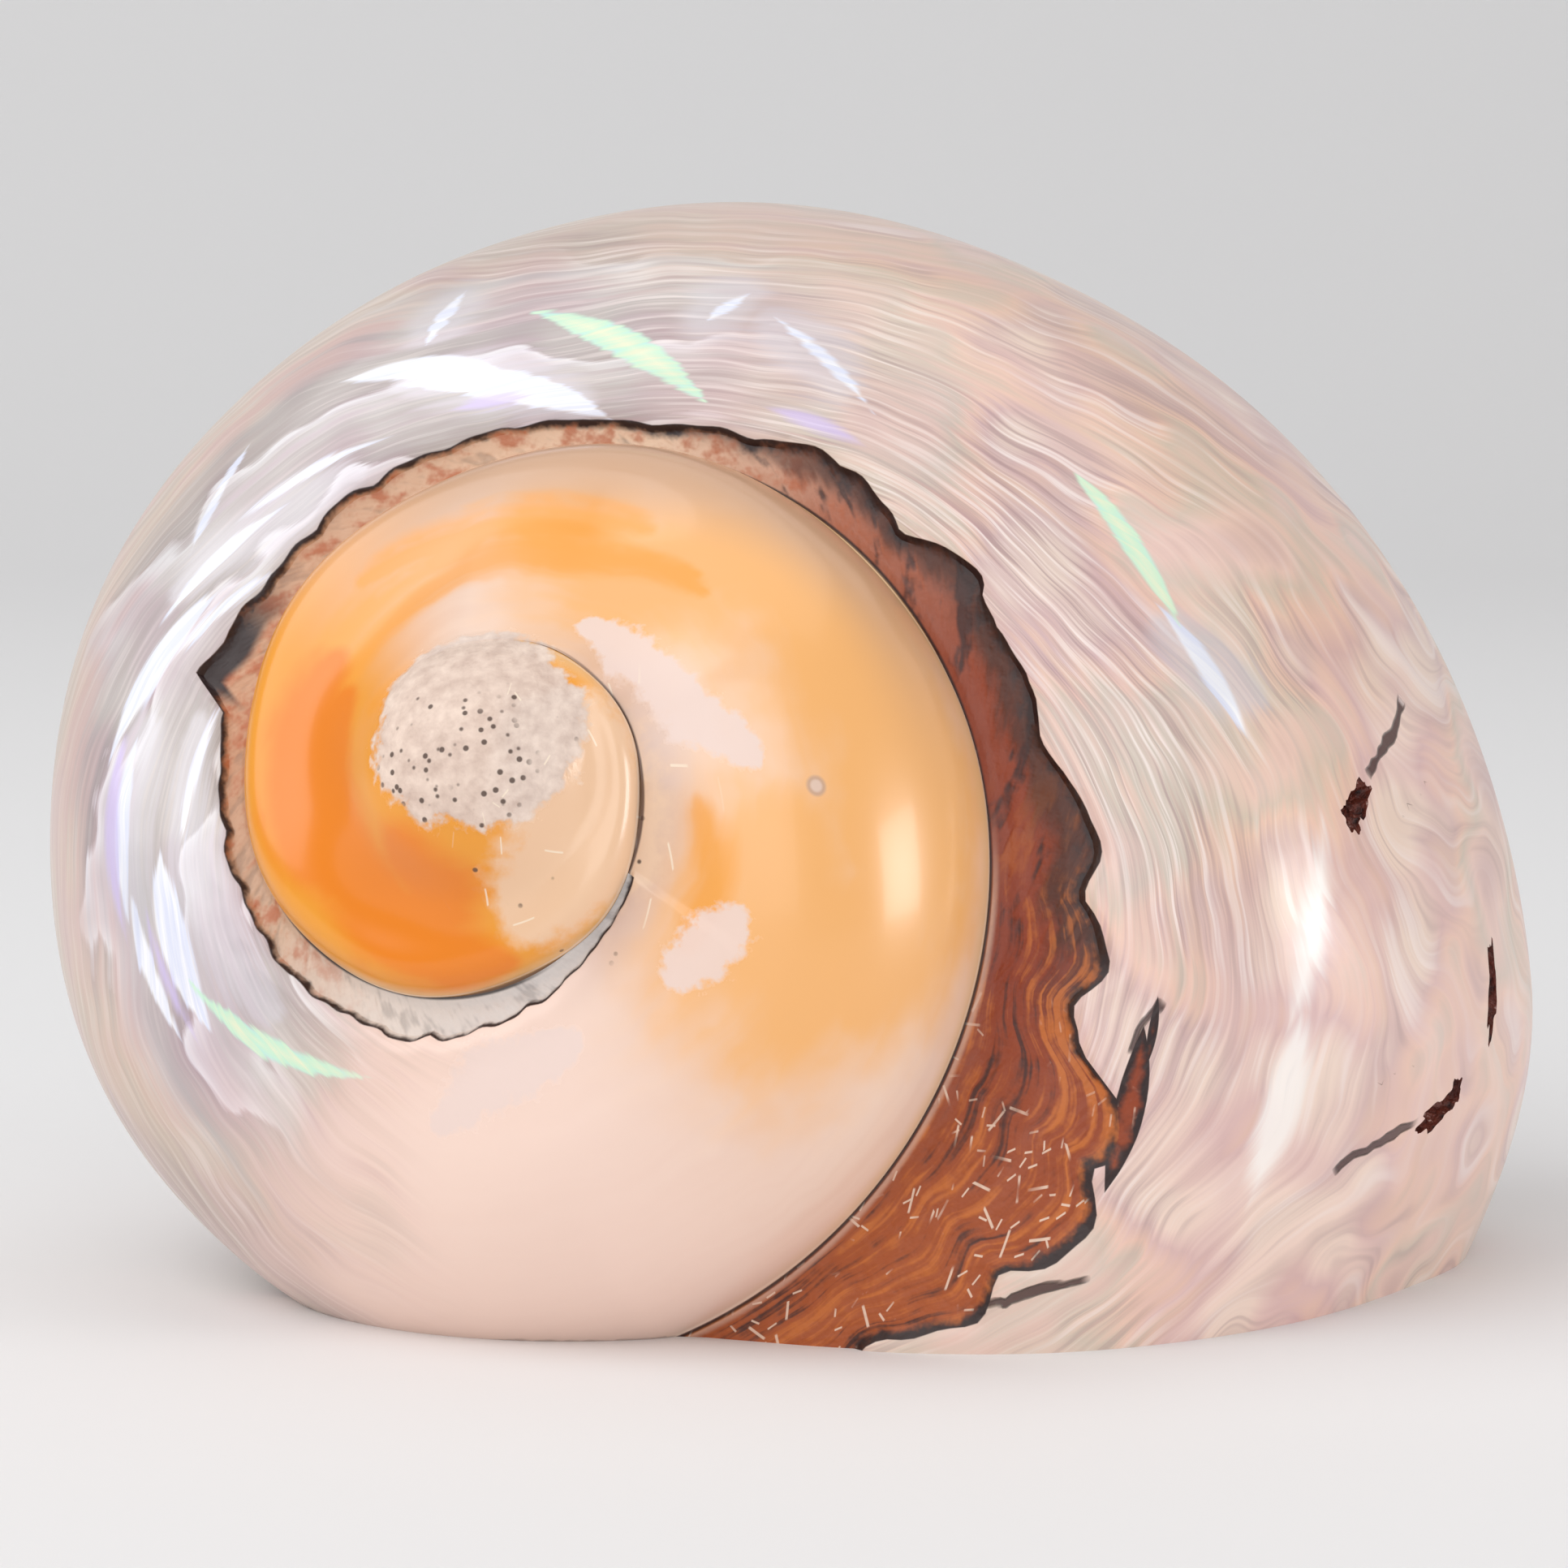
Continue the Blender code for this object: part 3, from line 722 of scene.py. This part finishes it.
# The polished skin, last whorl: pale pink pearl with hair-like grain and painted sheen, silver tongues
# on the left painted white as reflections, mint and violet glints, and worn cracks and a painted highlight on
# the right.
lines = value("grain")
wave = lines * 1.5 + broad * 3.5 + medium * 1.2
hair = vector(wave * 1.1, turn * 3.2).noise(1.0, 4.0, 0.62)
fine = vector(wave * 4.2 + hair * 3.0, turn * 15.0).noise(1.0, 2.0, 0.6)
grainy = vector(lines * 3.5, turn * 12.0).noise(1.0, 1.0)
layer = (lines * 0.30 + medium * 1.4 + hair * 0.5).math("FRACT")
pearl = hair.ramp((0.28, seen(194, 162, 156)), (0.42, seen(222, 188, 176)), (0.54, seen(240, 208, 194)),
                  (0.64, seen(220, 184, 172)), (0.78, seen(248, 220, 206)))
peach = (value("peach") + (medium - 0.5) * 1.4 + (hair - 0.5) * 0.6).rise(-0.25, 0.75)
pearl = (peach * 0.8).over(pearl, seen(224, 184, 160))
grey = (value("grey") + (hair - 0.5) * 2.6).rise(0.0, 0.75)
pearl = (grey * 0.6).over(pearl, seen(180, 158, 160))
outer = turn.fall(0.80, 0.95) * turn.rise(0.28, 0.40)
pearl = (outer * 0.6).over(pearl, seen(208, 190, 176))
left = turn.fall(0.78, 0.88) * turn.rise(0.30, 0.40) * (band + (hair - 0.5) * 12.0).fall(7.0, 13.0)
pearl = (left * 0.85).over(pearl, layer.ramp(
    (0.0, seen(164, 152, 158)), (0.45, seen(188, 178, 182)), (0.80, seen(208, 200, 206)),
    (0.95, seen(236, 234, 242)), (0.99, seen(186, 174, 182))))
lilac = (hair - medium * 0.6).rise(0.16, 0.38)
pearl = (lilac * 0.26).over(pearl, seen(204, 168, 182))
green = (medium * 1.2 - hair * 0.7).rise(0.20, 0.44)
pearl = (green * 0.22).over(pearl, seen(198, 204, 188))
patch = ((broad - 0.5) * 1.8 + (medium - 0.5) * 0.8 + (hair - 0.5) * 0.7 + 0.5).ramp(
    (0.10, seen(204, 176, 174)), (0.28, seen(246, 216, 202)), (0.42, seen(208, 204, 186)),
    (0.54, seen(246, 206, 184)), (0.68, seen(212, 176, 180)), (0.84, seen(250, 228, 214)))
pearl = (turn.rise(0.74, 0.90) * 0.46).over(pearl, patch)
older = turn.rise(0.72, 0.86)
strands = (0.07 + grey * 0.24 + medium.rise(0.42, 0.60) * (0.08 + older * 0.22)).math("MINIMUM", 0.6)
pearl = (fine.rise(0.50, 0.66) * strands).over(pearl, seen(164, 134, 136))
pearl = (fine.fall(0.34, 0.50) * (strands + 0.05)).over(pearl, seen(252, 240, 236))
streaks = (hair - 0.5) * 1.8 + (fine - 0.5) * 1.3
# Painted sheen: pale silver streaks on the pearl, a little metallic too.
sheen = (value("sheen") + streaks).rise(-0.10, 0.70)
pearl = (sheen * 0.45).over(pearl, seen(222, 220, 228))

# Tongues: the turn and mm from the seam where each starts and ends, and half its width in mm. They
# are drawn on the whorl laid out flat, as if it were as far round everywhere as in their middle.
TURN_LENGTH = 130                              # mm
# Silver tongues: the pearl's own pale streaks, painted white as the reflections they show.
SILVER_AND_REFLECTIONS = ((0.711, 8.6, 0.724, 11.9, 0.42), (0.678, 9.2, 0.738, 5.2, 0.75), (0.700, 6.6, 0.782, 1.6, 0.95),
          (0.690, 4.0, 0.622, 6.4, 0.35), (0.644, 10.2, 0.603, 8.1, 0.42), (0.640, 4.7, 0.573, 7.5, 0.45),
          (0.624, 2.1, 0.560, 5.9, 0.38), (0.600, 4.9, 0.520, 8.6, 0.80), (0.530, 6.8, 0.455, 8.7, 0.55),
          (0.470, 7.9, 0.404, 9.2, 0.65), (0.804, 7.8, 0.811, 10.2, 0.35), (0.822, 9.1, 0.866, 6.4, 0.35),
          (0.955, 11.9, 0.990, 14.8, 0.60), (0.556, 1.8, 0.470, 4.4, 0.35), (0.484, 5.4, 0.396, 7.4, 1.05))
# Strokes of a painted highlight on the right of the last whorl.
PAINTED_HIGHLIGHT_STROKES = ((1.004, 19.0, 1.052, 17.3, 1.10), (1.044, 18.0, 1.086, 18.8, 1.60))
MINT = ((0.745, 8.8, 0.817, 3.1, 0.85), (0.424, 6.7, 0.316, 4.7, 0.62), (0.912, 11.9, 0.960, 12.6, 0.70))
VIOLET = ((0.716, 3.8, 0.752, 3.2, 0.60), (0.536, 7.6, 0.450, 9.3, 0.60), (0.462, 7.2, 0.400, 8.4, 0.55),
          (0.836, 3.9, 0.872, 4.6, 0.60))
SPIKE = ((1.100, 10.4, 1.060, 9.2, 0.85), (1.070, 9.9, 1.052, 9.6, 0.28))
sheet = vector(turn * TURN_LENGTH, across, 1.0)


def tongues(rows):
    """How far inside the widest of some pointed lenses a place lies, in mm. Along a lens the half
    width is that of a parabola, and across it the distance from its middle line is taken off."""
    best = None
    for turn_a, mm_a, turn_b, mm_b, half in rows:
        start_at = np.array([turn_a * TURN_LENGTH, mm_a])
        leg = np.array([turn_b * TURN_LENGTH, mm_b]) - start_at
        unit = leg / np.linalg.norm(leg)
        side = np.array([-unit[1], unit[0]])
        near = leg / (leg @ leg)
        along, off = (sheet.node("ShaderNodeVectorMath", {"operation": "DOT_PRODUCT"},
                                 {0: sheet, 1: (line[0], line[1], -start_at @ line)}, out=1)
                      for line in (near, side))
        inside = along * along.math("MULTIPLY_ADD", -4 * half, 4 * half) - off.math("ABSOLUTE")
        best = inside if best is None else best.math("MAXIMUM", inside)
    return best


rough = (0.24 + fine * 0.16).math("MINIMUM", 0.8)
plain_gloss = gloss(pearl, rough, bumped(grainy * 0.028, 0.001), metal=sheen * 0.15, coat=0.18)

torn = (fine - 0.5) * 0.7 + (hair - 0.5) * 0.5
# Silver tongues: pale streaks of the pearl, painted white and blue-white as reflections.
silver_and_reflection = (tongues(SILVER_AND_REFLECTIONS) + torn).rise(-0.06, 0.22)
pearl = (silver_and_reflection * 0.95).over(pearl, fine.ramp((0.35, seen(252, 252, 255)), (0.60, seen(228, 232, 250))))
# Painted highlight: a soft white patch on the right, where a lamp's reflection is painted in as colour.
painted_highlight = (tongues(PAINTED_HIGHLIGHT_STROKES) + torn * 3.5).rise(-0.4, 1.1)
pearl = (painted_highlight * 0.75).over(pearl, seen(255, 252, 248))
violet = (tongues(VIOLET) + torn).rise(-0.1, 0.5)
pearl = (violet * 0.7).over(pearl, seen(216, 200, 246))
glimmer = tongues(MINT)
mint = (glimmer + torn).rise(-0.05, 0.22)
hue = (glimmer * 0.4 + fine * 0.9).ramp((0.30, seen(178, 236, 232)), (0.55, seen(206, 242, 214)),
                                        (0.80, seen(238, 244, 212)))
pearl = (mint * 0.9).over(pearl, hue)
eye = place.distance(20.6, -17.0, 46.4)
swirl = ((eye * 3.6 + medium * 5.0).math("SINE") * 0.5 + 0.5) * eye.fall(1.0, 4.5)
pearl = (swirl * 0.35).over(pearl, seen(192, 152, 146))
pearl = (eye.fall(0.3, 0.9) * 0.5).over(pearl, seen(172, 158, 176))
split = value("crack").math("ABSOLUTE") + (grainy - 0.5) * 0.6
open_crack = split.fall(0.15, 0.33) * value("crack_inner").rise(0.2, 0.6)
pearl = (open_crack * 0.9).over(pearl, seen(66, 28, 30))
speck = place.distance(-12.5, -28.9, 52.6).math("MINIMUM", place.distance(-2.3, -25.6, 52.5)).fall(0.10, 0.20)
pearl = (speck * 0.8).over(pearl, seen(70, 46, 44))
marked_gloss = gloss(pearl, rough, bumped(grainy * 0.028 - open_crack * 0.35, 0.001),
                     metal=sheen * 0.15, coat=0.18)

# The marks are drawn up to 30 mm from the seam only, which saves work on the rest of the whorl.
near_seam = across.fall(29.0, 30.0) * turn.rise(0.30, 0.31)
pearl_gloss = across.node("ShaderNodeMixShader", {}, {0: near_seam, 1: plain_gloss, 2: marked_gloss})

# The band: cream with rusty mottles at first, then red-brown, and rust again near the lip.
share = (across / (across - band + 0.02)).math("MINIMUM", 1.0)
growth = vector(turn * 46.0 + across * 0.45, across * 0.25).noise(1.0, 3.0, 0.7)
mottle = place.noise(0.75, 3.0, 0.6)
crust = turn.node("ShaderNodeMapRange", {}, {0: turn, 1: 0.22, 2: 1.22}).ramp(
    (0.00, seen(228, 220, 216)), (0.11, seen(228, 214, 204)), (0.20, seen(206, 172, 146)),
    (0.30, seen(200, 150, 118)), (0.46, seen(212, 170, 140)), (0.58, seen(236, 202, 174)),
    (0.66, seen(176, 112, 88)), (0.74, seen(150, 72, 48)),
    (0.84, seen(142, 62, 34)), (0.93, seen(172, 88, 46)))
spike = tongues(SPIKE)
rusty = (mottle * 0.6 + growth * 0.5).rise(0.52, 0.68) * turn.fall(0.84, 0.95) * turn.rise(0.30, 0.44)
crust = (rusty * 0.75).over(crust, seen(180, 92, 50))
deep = (share + (growth - 0.5) * 1.0).rise(0.34, 0.70) * turn.rise(0.80, 0.88) * turn.fall(1.04, 1.08)
crust = (deep * 0.92).over(crust, seen(80, 48, 34))
fan = vector(share * 8.0, turn * 9.0).noise(1.0, 3.0, 0.65)
streak = growth + (fan - growth) * turn.rise(1.00, 1.07) + (mottle - 0.5) * 0.25
crust = (streak.rise(0.50, 0.62) * turn.rise(0.98, 1.08) * 0.8).over(crust, seen(206, 118, 56))
crust = (streak.fall(0.34, 0.47) * (0.3 + older * 0.55)).over(crust, seen(54, 26, 18))
band_sheet = vector(turn * 150.0, across)
marks = scratches(band_sheet, 0.70, 0.60, 0.08, 0.3, 0.55)
marks = marks.math("MAXIMUM", scratches(band_sheet, 1.25, 0.26, 0.06, 1.9, 0.55))
marks = marks * ((turn + (mottle - 0.5) * 0.08).rise(1.06, 1.11) * cloudy.rise(0.46, 0.55))
crust = (marks * 0.85).over(crust, seen(240, 212, 190))
pale_seam = across.rise(0.12, 0.2) * across.fall(0.25, 0.55) * turn.rise(1.0, 1.05)
crust = (pale_seam * 0.55).over(crust, seen(225, 190, 170))
from_edge = (band * -1).math("MAXIMUM", spike * 1.4)
notch = turn.rise(0.550, 0.560) * turn.fall(0.585, 0.625)
rim_dark = (from_edge / (0.40 + older * 0.65 + notch * 1.3) + (mottle - 0.5) * 1.7).fall(0.20, 0.90)
rim_dark = rim_dark.math("MAXIMUM", notch * from_edge.fall(1.3, 2.0))
crust = rim_dark.over(crust, seen(52, 30, 24))
crust = (across.fall(0.06, 0.20) * turn.rise(0.18, 0.24) * 0.9).over(crust, seen(44, 26, 24))
crust_gloss = gloss(crust, 0.38 + mottle * 0.3, bumped(growth * 0.36 + mottle * 0.15, 0.001), coat=0.12)

last = (turn + (medium - 0.5) * 0.10 - across * 0.0012).rise(0.24, 0.36)
polished = last.node("ShaderNodeMixShader", {}, {0: last, 1: spire_gloss, 2: pearl_gloss})
banded = band.fall(-0.05, 0.03).math("MAXIMUM", spike.rise(0.0, 0.06))
finish(finishes[0], last.node("ShaderNodeMixShader", {}, {0: banded, 1: polished, 2: crust_gloss}))

# Cut rim, throat and holes: pale layered shell, smooth silver pearl, and dark brown worn matter.
place, value = start(finishes[1])
layers = place.noise(0.5, 4.0, 0.6)
finish(finishes[1], gloss(layers.ramp((0.3, seen(206, 186, 172)), (0.7, seen(236, 220, 208))),
                          layers * 0.2 + 0.35, bumped(layers, 0.0001, 0.5), coat=0.1))
place, value = start(finishes[2])
cloud = place.noise(0.10, 3.0, 0.5, 0.8)
glints = place.noise(0.35, 4.0, 0.55, 1.2)
colour = cloud.ramp((0.3, seen(226, 218, 222)), (0.55, seen(238, 226, 220)), (0.75, seen(214, 226, 218)))
colour = (glints.rise(0.55, 0.7) * 0.5).over(colour, seen(240, 212, 222))
finish(finishes[2], gloss(colour, glints * 0.15 + 0.14, bumped(glints, 0.00008, 0.4),
                          metal=cloud.rise(0.4, 0.7) * 0.4, coat=0.4, film=460.0))
place, value = start(finishes[3])
matter = place.noise(1.6, 4.0, 0.65)
finish(finishes[3], gloss(matter.ramp((0.30, seen(48, 22, 20)), (0.60, seen(122, 62, 50)),
                                      (0.78, seen(226, 196, 186))),
                          matter * 0.3 + 0.35, bumped(matter, 0.0003, 0.9)))
